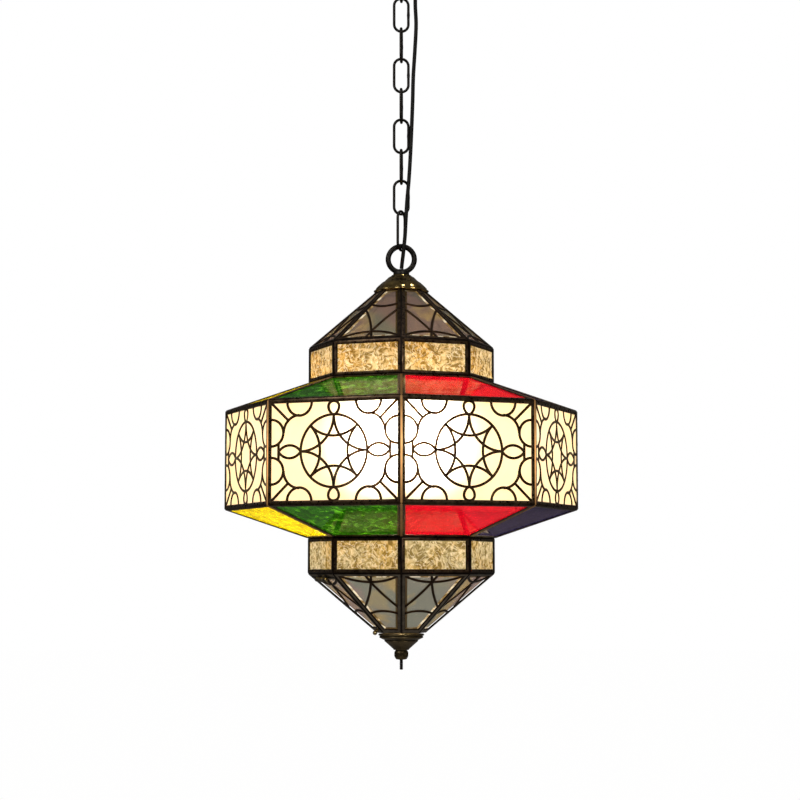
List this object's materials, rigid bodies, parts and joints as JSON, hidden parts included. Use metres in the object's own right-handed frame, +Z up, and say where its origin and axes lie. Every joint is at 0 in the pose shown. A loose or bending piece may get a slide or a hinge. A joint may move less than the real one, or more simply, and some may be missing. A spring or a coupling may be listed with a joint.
{
  "type": "hanging metal and glass lantern",
  "caption": "Eight-sided hanging lantern of dark bronze frames and coloured glass on a chain with a cable and ceiling canopy; a glazed door in its lower cone opens on a hinge for the bulb.",
  "frame": {"origin": "middle of the mounting bar's upper face, which lies against the ceiling", "axes": "+Z up, out of the ceiling face; a corner of the lantern points along -Y, towards the viewer; +X to the viewer's right"},
  "size_m": [0.355, 0.355, 0.7591],
  "materials": {
    "dark_bronze": "dark antique bronze, worn lighter on edges",
    "black_steel": "black, slightly rough",
    "antique_brass": "antique brass, brushed and darkened",
    "cable": "black cable sheath",
    "lampholder": "black",
    "bulb": "opal, lit warm white",
    "cream_glass": "frosted cream",
    "amber_glass": "hammered amber",
    "clear_glass": "clear with bevelled edges",
    "red_glass": "clear red",
    "blue_glass": "clear dark blue",
    "yellow_glass": "clear yellow",
    "green_glass": "clear green"
  },
  "bodies": {
    "ceiling": {"mounting_bar": "black_steel", "ceiling_canopy": "dark_bronze", "canopy_gland": "antique_brass", "canopy_loop": "black_steel", "power_cable": "cable"},
    "link_9": {"chain_link_9": "black_steel"},
    "link_8": {"chain_link_8": "black_steel"},
    "link_7": {"chain_link_7": "black_steel"},
    "link_6": {"chain_link_6": "black_steel"},
    "link_5": {"chain_link_5": "black_steel"},
    "link_4": {"chain_link_4": "black_steel"},
    "link_3": {"chain_link_3": "black_steel"},
    "link_2": {"chain_link_2": "black_steel"},
    "link_1": {"chain_link_1": "black_steel"},
    "lantern": {"hanging_loop": "black_steel", "top_cap": "antique_brass", "support_tube": "black_steel", "lampholder": "lampholder", "bulb": "bulb", "roof_frame": "dark_bronze", "roof_glass": "clear_glass", "upper_neck_frame": "dark_bronze", "upper_neck_glass": "amber_glass", "upper_shoulder_frame": "dark_bronze", "wall_frame": "dark_bronze", "lower_shoulder_frame": "dark_bronze", "lower_neck_frame": "dark_bronze", "lower_neck_glass": "amber_glass", "cone_frame": "dark_bronze", "cone_glass": "clear_glass", "bottom_cap": "dark_bronze", "finial": "dark_bronze", "hinge_pin": "antique_brass", "upper_shoulder_glass_1": "red_glass", "upper_shoulder_glass_2": "blue_glass", "upper_shoulder_glass_3": "yellow_glass", "upper_shoulder_glass_4": "green_glass", "upper_shoulder_glass_5": "red_glass", "upper_shoulder_glass_6": "blue_glass", "upper_shoulder_glass_7": "yellow_glass", "upper_shoulder_glass_8": "green_glass", "wall_glass_1": "cream_glass", "wall_glass_2": "cream_glass", "wall_glass_3": "cream_glass", "wall_glass_4": "cream_glass", "wall_glass_5": "cream_glass", "wall_glass_6": "cream_glass", "wall_glass_7": "cream_glass", "wall_glass_8": "cream_glass", "lower_shoulder_glass_1": "red_glass", "lower_shoulder_glass_2": "blue_glass", "lower_shoulder_glass_3": "yellow_glass", "lower_shoulder_glass_4": "green_glass", "lower_shoulder_glass_5": "red_glass", "lower_shoulder_glass_6": "blue_glass", "lower_shoulder_glass_7": "yellow_glass", "lower_shoulder_glass_8": "green_glass"},
    "door": {"door_frame": "dark_bronze", "door_glass": "clear_glass"},
    "catch": {"door_catch": "antique_brass"}
  },
  "joints": [
    {"name": "link_9_swing", "type": "hinge", "parent": "ceiling", "child": "link_9", "pos_m": [0, 0, -0.04755], "axis": [1, 0, 0], "range_deg": [-12, 12], "deforming": ["power_cable"]},
    {"name": "link_8_swing", "type": "hinge", "parent": "link_9", "child": "link_8", "pos_m": [0, 0, -0.07875], "axis": [0, 1, 0], "range_deg": [-12, 12]},
    {"name": "link_7_swing", "type": "hinge", "parent": "link_8", "child": "link_7", "pos_m": [0, 0, -0.11045], "axis": [1, 0, 0], "range_deg": [-12, 12]},
    {"name": "link_6_swing", "type": "hinge", "parent": "link_7", "child": "link_6", "pos_m": [0, 0, -0.14215], "axis": [0, 1, 0], "range_deg": [-12, 12]},
    {"name": "link_5_swing", "type": "hinge", "parent": "link_6", "child": "link_5", "pos_m": [0, 0, -0.17385], "axis": [1, 0, 0], "range_deg": [-12, 12]},
    {"name": "link_4_swing", "type": "hinge", "parent": "link_5", "child": "link_4", "pos_m": [0, 0, -0.20555], "axis": [0, 1, 0], "range_deg": [-12, 12]},
    {"name": "link_3_swing", "type": "hinge", "parent": "link_4", "child": "link_3", "pos_m": [0, 0, -0.23725], "axis": [1, 0, 0], "range_deg": [-12, 12]},
    {"name": "link_2_swing", "type": "hinge", "parent": "link_3", "child": "link_2", "pos_m": [0, 0, -0.26895], "axis": [0, 1, 0], "range_deg": [-12, 12]},
    {"name": "link_1_swing", "type": "hinge", "parent": "link_2", "child": "link_1", "pos_m": [0, 0, -0.30065], "axis": [0.8387, -0.5446, 0], "range_deg": [-12, 12]},
    {"name": "lantern_swing", "type": "hinge", "parent": "link_1", "child": "lantern", "pos_m": [0, 0, -0.33775], "axis": [0, 1, 0], "range_deg": [-12, 12]},
    {"name": "door_hinge", "type": "hinge", "parent": "lantern", "child": "door", "pos_m": [-0.0784, -0.03247, -0.66984], "axis": [-0.3827, 0.9239, 0], "range_deg": [0, 110]},
    {"name": "catch_turn", "type": "hinge", "parent": "door", "child": "catch", "pos_m": [-0.0239, -0.0099, -0.71993], "axis": [0.6231, 0.2581, 0.7384], "range_deg": [0, 90]}
  ]
}
